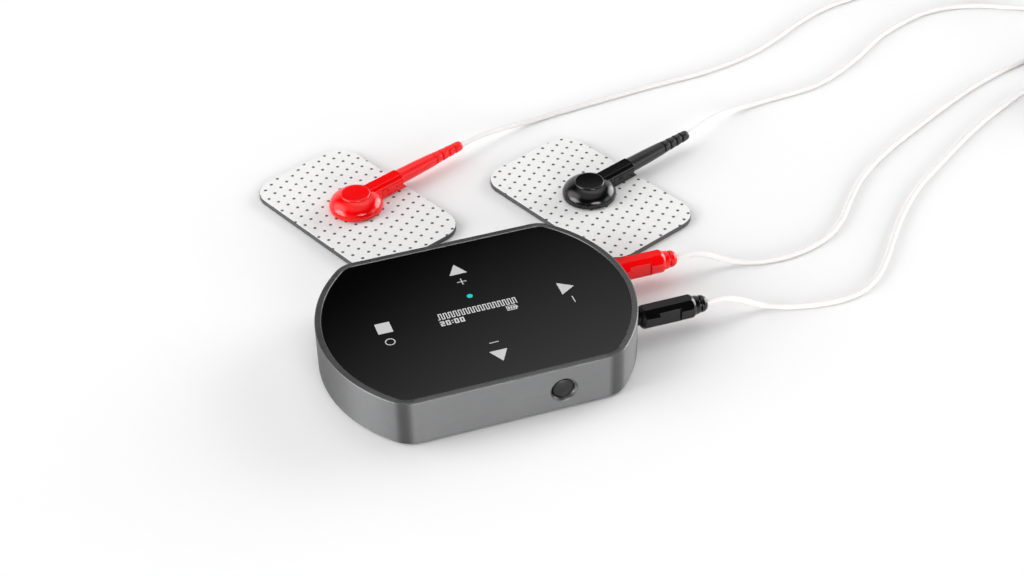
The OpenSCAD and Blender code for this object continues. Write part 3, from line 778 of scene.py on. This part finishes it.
def add_cord(side, near, far, centre, start_angle, way, turns, tie_angle):
    """One cord from its plug to its coil and back to its connector, as one tube."""
    plug_end, coil_end, boot_end = on_floor(near[0]), on_floor(near[-1]), on_floor(far[-1])
    plug = Vector((-1, 0, 0))
    tail = Vector((math.cos(side.turn), math.sin(side.turn), 0))
    coil = winding(centre, start_angle, way, turns)
    entry = (coil[1] - coil[0]).normalized() * COIL_GUIDE
    leave = (coil[-1] - coil[-2]).normalized() * COIL_GUIDE
    inside_boot = boot_end - tail * TUBE_SUNK
    line = [plug_end + plug * TUBE_SUNK]
    line += curve_through(near, plug_end + plug * PLUG_GUIDE, coil_end + entry)[:-1]
    line += coil
    line += curve_through(far, Vector(far[0]) - leave, boot_end - tail * COIL_GUIDE)[1:]
    line.append(inside_boot)
    cord = solid(f"{side.name}_cord", tube_rings, line, CORD_D / 2, CORD_SIDES)
    cord.data.shade_smooth()
    cord.data.materials.append(PAINT["cord"])
    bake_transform(cord)
    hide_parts(*(f"{side.name}_cord_{part}" for part in ("near", "coil", "far")))
    tie = add_tie(side, centre, tie_angle)


# -------- the unit


def add_casing():
    """The metal frame: rounded rim, glass seat, screw bosses, button lip and jack holes."""
    inner = WALL + LEDGE_W
    profile = [
        (0, BASE_PAD_T), (0, CASE_H), (WALL, CASE_H), (WALL, SEAT_Z),
        (inner, SEAT_Z), (inner, SEAT_Z - LEDGE_T), (WALL, SEAT_Z - LEDGE_T),
        (WALL, BASE_PAD_T),
    ]
    radii = [0.4, 0.3, 0.12, 0.0, 0.15, 0.15, 0.3, 0.15]
    casing = solid(
        "casing_shell", lofted, case_outline, filleted(profile, radii, 4, True), True
    )
    soft, boss_top = 0.2, SEAT_Z - LEDGE_T + 0.4
    line = [
        (COVER_TOP, PILOT_R + soft), (COVER_TOP, BOSS_R - soft), (COVER_TOP + soft, BOSS_R),
        (boss_top, BOSS_R), (boss_top, 0), (7.5, 0), (7.3, PILOT_R), (COVER_TOP + soft, PILOT_R),
    ]
    bosses = []
    for x in (-BOSS_X, BOSS_X):
        for y in (-BOSS_Y, BOSS_Y):
            bosses.append(solid("boss", lathed, line, moved(x, y, 0) @ ALONG_Z, 48, True))
    combined(casing, bosses, "UNION")
    r = BUTTON_D / 2
    lip = [
        (-1, 0), (-1, LIP_R + 0.35), (-0.05, LIP_R + 0.22), (0.1, LIP_R), (0.62, r + 0.16),
        (0.75, r + 0.08), (3, r + 0.08), (3, 0),
    ]
    at_button = moved(BUTTON_X, -CASE_W / 2, BUTTON_Z) @ ALONG_Y
    cutters = [solid("lip", lathed, lip, at_button, 96)]
    r = JACK_NOSE_R + 0.1
    line = [
        (JACK_FRONT_X - 2, 0), (JACK_FRONT_X - 2, r), (39.1, r), (39.6, r + 0.5),
        (41, r + 0.6), (41, 0),
    ]
    for side in SIDES:
        at_jack = moved(0, side.sign * JACK_Y, JACK_Z)
        cutters.append(solid("hole", lathed, line, at_jack, 64))
    combined(casing, cutters, "DIFFERENCE")
    dressed(casing, "metal", "unit", ["casing"], sharp=32)


def add_glass():
    """The touch panel's glass with its polished edge."""
    gap, flat = 0.12, 3
    edge = WALL + gap
    low = GLASS_TOP - GLASS_T
    profile = [(edge + flat, low), (edge, low), (edge, GLASS_TOP), (edge + flat, GLASS_TOP)]
    line = filleted(profile, [0, 0.15, 0.12, 0], 5)
    glass = solid("glass_face", lofted, case_outline, line)
    dressed(glass, "glass", "unit", ["glass_panel"])


def printed(name, outlines, paint="ink"):
    """Flat marks on the glass, from closed (x, y) outlines."""
    bm = bmesh.new()
    for outline in outlines:
        extruded(bm, outline, ALONG_X, GLASS_TOP - PRINT_SINK, GLASS_TOP + PRINT_T)
    return dressed(as_object(name, bm), paint, "unit")


def box_outline(x0, y0, x1, y1, r=0.0):
    """A rectangle between two corners, with its own corners rounded if r is given."""
    corners = [(x0, y0), (x1, y0), (x1, y1), (x0, y1)]
    return [tuple(p) for p in filleted(corners, [r] * 4, 3, True)] if r else corners


def ring_outlines(x, y, r, width):
    """A thin ring as quads."""
    inner, outer, parts = r - width / 2, r + width / 2, 24
    pieces = []
    for k in range(parts):
        a, b = (2 * math.pi * j / parts for j in (k, k + 1))
        corners = ((inner, a), (outer, a), (outer, b), (inner, b))
        pieces.append([(x + s * math.cos(t), y + s * math.sin(t)) for s, t in corners])
    return pieces


def add_markings():
    """Key marks and generic signs, in place of the words on the real panel."""
    soft = 0.12
    triangles = {
        "mark_up": [(-2.35, 14.8), (2.35, 14.8), (0, 18.9)],
        "mark_down": [(-2.3, -16.75), (0, -20.9), (2.3, -16.75)],
        "mark_start": [(21.87, -2.0), (25.7, 0.4), (21.87, 2.9)],
    }
    for name, corners in triangles.items():
        printed(name, [filleted(corners, [soft] * 3, 3, True)])
    printed("mark_stop", [box_outline(-25.45, -1.35, -21.7, 2.65, soft)])
    stroke, arm = 0.13, 1.2
    x, y = -0.1, 11.6
    plus = [
        box_outline(x - arm, y - stroke, x + arm, y + stroke),
        box_outline(x - stroke, y + stroke, x + stroke, y + arm),
        box_outline(x - stroke, y - arm, x + stroke, y - stroke),
    ]
    printed("sign_plus", plus)
    printed("sign_minus", [box_outline(-arm, -13.8, arm, -13.8 + 2 * stroke)])
    printed("sign_on", [box_outline(23.7, -5.9, 23.7 + 2 * stroke, -3.4)])
    printed("sign_off", ring_outlines(-23.5, -4.9, 1.15, 2 * stroke))


# The digits' lit squares, as five rows of three from the top
DIGIT_ROWS = {
    "0": "111101101101111",
    "2": "111001111100111",
}


def add_display():
    """The lit display: a train of pulses, a timer and a battery sign, all in small squares."""
    cells = []
    pulses, pitch, stroke, tall, foot = 16, 1.28, 0.26, 1.15, 0.62
    for k in range(pulses):
        x = -10.15 + k * pitch
        rise, fall = x + foot - stroke, x + pitch - stroke
        cells.append(box_outline(x, -tall, rise, stroke - tall))
        cells.append(box_outline(rise, -tall, x + foot, tall))
        cells.append(box_outline(x + foot, tall - stroke, fall, tall))
        cells.append(box_outline(fall, -tall, x + pitch, tall))
    dot, x = 0.36, -10.1
    for sign in "20:00":
        if sign == ":":
            cells += [box_outline(x, y, x + dot, y + dot) for y in (-3.2, -2.4)]
            x += 2 * dot
            continue
        for i, lit in enumerate(DIGIT_ROWS[sign]):
            if lit == "1":
                left, top = x + (i % 3) * dot, -1.8 - (i // 3) * dot
                cells.append(box_outline(left, top - dot, left + dot, top))
        x += 4 * dot
    printed("display_symbols", cells, "pixels")
    body = [
        box_outline(7.0, -3.4, 9.5, -3.2), box_outline(7.0, -1.8, 9.5, -1.6),
        box_outline(7.0, -3.2, 7.2, -1.8), box_outline(9.3, -3.2, 9.5, -1.8),
        box_outline(9.5, -2.9, 9.85, -2.1),
    ]
    body += [box_outline(x, -2.95, x + 0.42, -2.05) for x in (7.4, 8.05, 8.7)]
    printed("battery_sign", body, "pixels")
    light = [tuple(p) for p in arc((0, 5.4), 0.75, 0, 2 * math.pi, 32)[:-1]]
    printed("status_spot", [light], "light")


def add_button():
    """The power button: a domed face, and a flange behind the wall that keeps it in."""
    front, r, flange_r = -CASE_W / 2, BUTTON_D / 2, 3.3
    flange_x, back = WALL - 0.1, WALL + 0.65
    line = [
        (0.02, 0), (0.03, 0.6), (0.6, r), (flange_x, r), (flange_x, flange_r),
        (back, flange_r), (back, 0),
    ]
    profile = filleted(line, [0, 2.5, 0.5, 0, 0.15, 0.15, 0], 6)
    cap = solid("button_dome", lathed, profile, moved(BUTTON_X, front, BUTTON_Z) @ ALONG_Y)
    dressed(cap, "button", "power_button", ["button_cap"])


# -------- the leads


def add_plug(side):
    """The eight-sided grip with its finger flats, and the stepped collar behind it."""
    c, slot = side.name, f"moulded_{side.name}"
    grip = cad_copy(f"{c}_plug_shell", f"{c}_plug_grip", 0.14)
    sleeve = [
        (38.2, 0), (38.2, SLEEVE_R), (39.1, SLEEVE_R), (39.25, 2.15), (39.5, 2.6),
        (PLUG_X + 0.1, 2.75), (PLUG_X + 0.4, 2.7), (PLUG_X + 0.4, 0),
    ]
    axis = moved(0, side.sign * JACK_Y, JACK_Z)
    combined(grip, [solid("sleeve", lathed, sleeve, axis, 64)], "UNION")
    dressed(grip, c, side.lead, [f"{c}_plug_shell"], sharp=24)
    x = SHELL_END
    line = [
        (x - 0.3, 0), (x - 0.3, 2.5), (x, 2.55), (x + 1.3, 2.35), (x + 1.3, 1.6),
        (x + 1.85, 1.6), (x + 1.85, 2.25), (x + 2.7, 2.15), (x + 3.4, 1.7),
        (x + 3.65, 1.1), (x + 3.55, 0.82), (x + 3.1, 0.8), (x + 3.1, 0),
    ]
    radii = [0, 0, 0.1, 0.12, 0.08, 0.08, 0.12, 0.5, 0.5, 0.2, 0.1, 0, 0]
    collar = solid(f"{c}_plug_ring", lathed, filleted(line, radii), axis)
    dressed(collar, c, side.lead, [f"{c}_plug_collar"])
    return [grip, collar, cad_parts[f"{c}_plug_pin"]]


def neck(name, side, half, low, high, chamfer, start, end):
    """A bar along the tail, from start to end, with chamfered upper edges."""
    inner, under = half - chamfer, high - chamfer
    section = [
        (-half, low), (half, low), (half, under), (inner, high), (-inner, high), (-half, under),
    ]
    bm = bmesh.new()
    rings = [
        [bm.verts.new(side.pad @ (Vector((x, y, z)) * MM)) for y, z in section]
        for x in (start, end)
    ]
    bridge(bm, rings)
    return as_object(name, bm)


def add_snap(side):
    """The press-stud connector: round head, flat cap, neck and ribbed boot."""
    c, slot = side.name, f"moulded_{side.name}"
    up = side.pad @ ALONG_Z

    base = cad_copy(f"{c}_snap_base", f"{c}_snap_foot", 0.16)
    dimples = [
        solid(
            "dimple", lathed, [(-1, 0), (-1, 0.34), (0.5, 0.28), (0.5, 0)],
            side.pad @ moved(x, -NECK_W / 2 - 0.1, DIMPLE_Z) @ ALONG_Y, 24,
        )
        for x in DIMPLES_X
    ]
    combined(base, dimples, "DIFFERENCE")
    dressed(base, c, side.snap, [f"{c}_snap_base"], sharp=30)

    dome = [Vector((SPLIT_Z, 0)), Vector((SPLIT_Z, HEAD_R - 0.15))]
    for k in range(DOME_STEPS):
        t = math.radians(DOME_FROM + k * DOME_STEP)
        x, r = DOME_Z + DOME_TALL * math.sin(t), DOME_INSET_R + DOME_WIDE * math.cos(t)
        dome.append(Vector((x, r)))
    dome.append(Vector((dome[-1].x, 0)))
    head = solid(f"{c}_snap_dome", lathed, dome, up, 128)
    half = NECK_W / 2
    bar = neck("neck", side, half, NECK_SPLIT_Z + 0.01, NECK_TOP, 0.8, 3.6, NECK_END)
    rounded_edges(bar, 0.12, 20)
    # The web joins the bar to the dome, below the bar and just inside its faces
    web = neck("web", side, half - 0.03, SPLIT_Z + 0.02, NECK_SPLIT_Z + 0.53, 0.3, 5.13, 7.43)
    combined(bar, [web], "UNION")
    combined(head, [bar], "UNION")
    seat = cylinder("seat", CAP_R + 0.02, CAP_Z - 0.1, 9, up, 128)
    pocket = cylinder("pocket", SOCKET_R + 0.05, SPLIT_Z - 1, SOCKET_TOP + 0.1, up, 64)
    along_boot = side.pad @ moved(0, 0, BOOT_Z)
    bore = cylinder("bore", BOOT_CORE_R + 0.05, 9, NECK_END + 1, along_boot, 48)
    combined(head, [seat, pocket, bore], "DIFFERENCE")
    dressed(head, c, side.snap, [f"{c}_snap_housing"], sharp=30)

    disc = [
        (CAP_Z, 0), (CAP_Z, CAP_R), (HEAD_TOP, CAP_R - 0.06), (HEAD_TOP - 0.03, 0),
    ]
    cap = solid(f"{c}_snap_button", lathed, filleted(disc, [0, 0, 0.5, 0], 10), up, 128)
    dressed(cap, c, side.snap, [f"{c}_snap_cap"])

    first = BOOT_END - RIBS * RIB_PITCH
    core_x, tip_x = 9.1, BOOT_END - 0.8
    line = [
        (core_x, 0), (core_x, BOOT_CORE_R), (NECK_END, BOOT_CORE_R), (NECK_END, BOOT_R),
        ((NECK_END + first) / 2, BOOT_R - 0.08), (first - 0.66, BOOT_WAIST_R),
    ]
    radii = [0, 0, 0, 0.15, 1.0, 0.12]
    rib_r = BOOT_WAIST_R - 0.1
    for i in range(RIBS):
        x = first + i * RIB_PITCH
        r = rib_r - (rib_r - BOOT_TIP_R) * i / RIBS
        floor_r = r - RIB_GROOVE
        line += [
            (x - 0.6, floor_r), (x - 0.04, floor_r), (x, r), (x + RIB_PITCH - 0.68, r - 0.1),
        ]
        radii += [0.04, 0.04, 0.12, 0.12]
    line += [
        (BOOT_END, BOOT_TIP_R - 0.15), (BOOT_END, CORD_D / 2 + 0.05), (tip_x, CORD_D / 2),
        (tip_x, 0),
    ]
    radii += [0.7, 0.1, 0, 0]
    boot = solid(f"{c}_snap_sleeve", lathed, filleted(line, radii, 4), along_boot, 64)
    dressed(boot, f"{c}_boot", side.snap, [f"{c}_snap_boot"])


# -------- the pads


def pad_lift(x, y):
    """How far the pad stands off flat: a slight wave, and corners that curl up a little."""
    flat_r, fade, wave_size, wave_height, curl = 6, 8, 9, 0.035, 0.5
    away = min(1.0, max(0.0, (math.hypot(x, y) - flat_r) / fade))
    wave = wave_height * noise.noise(Vector((x / wave_size, y / wave_size, 3.7)))
    corner = max(0.0, math.hypot(x / (PAD_W / 2), y / (PAD_L / 2)) - 1.0)
    return away * (wave + curl * corner * corner)


def layer(bm, side, edge):
    """A pad layer with a rounded rim and a gently uneven face.

    edge holds (inset, z) from the bottom face to the top one.
    """

    def placed(x, y, z):
        return bm.verts.new(side.pad @ (Vector((x, y, z + pad_lift(x, y))) * MM))

    spacing = 1.5
    rings = [[placed(x, y, z) for x, y in pad_outline(inset)] for inset, z in edge]
    bridge(bm, rings, caps=False)
    count = len(rings[0])
    loops = [(k, (k + 1) % count) for k in range(count)]
    columns, rows = (math.ceil(size / 2 / spacing) for size in (PAD_W, PAD_L))
    clear = edge[0][0] + 0.8
    inside = [
        (i * spacing, j * spacing)
        for i in range(-columns, columns + 1)
        for j in range(-rows, rows + 1)
        if in_pad((i * spacing, j * spacing), clear)
    ]
    for ring, (inset, z) in ((rings[0], edge[0]), (rings[-1], edge[-1])):
        points = [Vector(p) for p in pad_outline(inset) + inside]
        found, _, faces, *_ = delaunay_2d_cdt(points, loops, [], 1, 1e-4)
        verts = list(ring) + [placed(p.x, p.y, z) for p in found[count:]]
        for face in faces:
            bm.faces.new([verts[i] for i in face])


def in_pad(point, inset):
    """Whether a point is inside the pad's outline moved in by inset."""
    r = PAD_R - inset
    dx = max(0.0, abs(point[0]) - (PAD_W / 2 - PAD_R))
    dy = max(0.0, abs(point[1]) - (PAD_L / 2 - PAD_R))
    return math.hypot(dx, dy) < r


def pad_piece(side, kind, line, radii, steps, paint):
    """One layer of a pad, from its edge's corners, as a dressed piece."""
    sheet = solid(f"{side.name}_{kind}_sheet", layer, side, filleted(line, radii, steps))
    stands_for = [f"{side.name}_pad_{kind}"]
    return dressed(sheet, paint, side.pad_body, stands_for, sharp=50)


def add_pad(side):
    """Gel, foam and printed cover."""
    gel_line = [(1.4, 0), (0.8, 0), (0.8, GEL_TOP), (1.4, GEL_TOP)]
    pad_piece(side, "gel", gel_line, [0, 0.2, 0.1, 0], 4, "gel")
    low, high = 0.04, PAD_T - COVER_T
    foam_line = [(0.7, low), (0, low), (0, high), (0.4, high)]
    foam_sheet = pad_piece(side, "foam", foam_line, [0, 0.1, 0.08, 0], 4, "foam")
    inset, flat = 0.1, 0.4
    cover_line = [(flat, high), (inset, high), (inset, PAD_T), (flat, PAD_T)]
    angle, offset = DOTS[side.name]
    paint = pad_cover(f"pad_cover_{side.name}", side.turn + math.radians(angle), offset)
    cover = pad_piece(side, "cover", cover_line, [0, 0.02, 0.03, 0], 3, paint)


# -------- CAD nodes that keep their shape

KEPT = {
    "rubber": ["base_pad"],
    "cover": ["bottom_cover"],
    "foam_grey": ["panel_gasket", "battery_foam"],
    "film": ["touch_film"],
    "screen": ["display_module"],
    "board": ["panel_board", "main_board"],
    "light": ["status_light"],
    "flex": ["panel_cable"],
    "chip": ["controller_chip", "red_jack", "black_jack"],
    "can": ["capacitors"],
    "pouch": ["battery"],
    "wire": ["battery_lead"],
    "steel": [
        "power_switch", "case_screws", "switch_plunger", "red_plug_pin", "black_plug_pin",
        "red_snap_socket", "black_snap_socket", "red_pad_eyelet", "black_pad_eyelet",
        "red_pad_stud", "black_pad_stud",
    ],
    "winding": ["red_transformer", "black_transformer"],
    "brass": ["red_jack_contact", "black_jack_contact"],
}


def paint_kept_nodes():
    """Gives the CAD nodes that keep their shape their materials."""
    for paint, names in KEPT.items():
        for name in names:
            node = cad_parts[name]
            node.data.materials.clear()
            node.data.materials.append(PAINT[paint])


# -------- floor and light


def add_floor():
    """A plain floor, 12 m across so that no edge shows."""
    half = 6.0
    bm = bmesh.new()
    bmesh.ops.create_grid(bm, x_segments=8, y_segments=8, size=half)
    floor = as_object("floor", bm)
    floor.data.materials.append(studio_floor())


# The world's brightness at the horizon and overhead, and the heights between which it changes.
# Each panel has its azimuth from +Y towards +X, its elevation, the radii of its full and its
# faded part, all in degrees, and its strength.
HORIZON, CEILING = 0.36, 0.01
HORIZON_TOP, CEILING_FOOT = 0.16, 0.42
PANELS = [
    (0, 90, 16, 43, 0.65),
    (37, 60, 18, 27.5, 0.9),
    (174, 8, 10, 24, 8.7),
    (120, 10, 8, 20, 1.45),
    (80, 12, 12, 26, 6.5),
    (50, 12, 14, 28, 1.3),
    (-5, 12, 14, 28, 0.8),
    (-50, 14, 12, 26, 0.3),
    (-72, 34, 12, 34, 2.5),
    (-96, 8, 14, 29, 6.4),
]


def add_studio():
    """Soft studio light: a pale horizon, and wide panels that fade at their edges."""
    world = bpy.data.worlds.new("studio")
    bpy.context.scene.world = world
    sky = Nodes(world)
    place = sky.node("ShaderNodeTexCoord").outputs["Generated"]
    height = sky.node("ShaderNodeSeparateXYZ", {"Vector": place}).outputs["Z"]
    total = sky.ramp(height, HORIZON_TOP, CEILING_FOOT, HORIZON, CEILING, smooth=True)
    for azimuth, elevation, core, edge, strength in PANELS:
        a, e = math.radians(azimuth), math.radians(elevation)
        toward = (math.sin(a) * math.cos(e), math.cos(a) * math.cos(e), math.sin(e))
        facing = sky.vector("DOT_PRODUCT", place, toward, out="Value")
        faded, full = (math.cos(math.radians(radius)) for radius in (edge, core))
        total = sky.maths("ADD", total, sky.ramp(facing, faded, full, 0.0, strength, smooth=True))
    background = sky.tree.nodes["Background"].inputs
    sky.feed(background["Color"], (1, 1, 1, 1))
    sky.feed(background["Strength"], total)
    bpy.context.scene.view_settings.view_transform = "Standard"


# -------- build

add_casing()
add_glass()
add_markings()
add_display()
add_button()
LEAD_PIECES = {side.name: add_plug(side) for side in SIDES}
for lead_side in SIDES:
    add_snap(lead_side)
    add_pad(lead_side)
# Each coil starts where its cord's near part ends
red_coil = (RED_NEAR[-1][0] - COIL_LINE_R, RED_NEAR[-1][1])
black_coil = (BLACK_NEAR[-1][0], BLACK_NEAR[-1][1] - COIL_LINE_R)
add_cord(RED, RED_NEAR, RED_FAR, red_coil, 0.0, 1, 9.25, math.radians(225))
add_cord(BLACK, BLACK_NEAR, BLACK_FAR, black_coil, math.pi / 2, -1, 10.0, math.radians(270))
paint_kept_nodes()
add_floor()
add_studio()
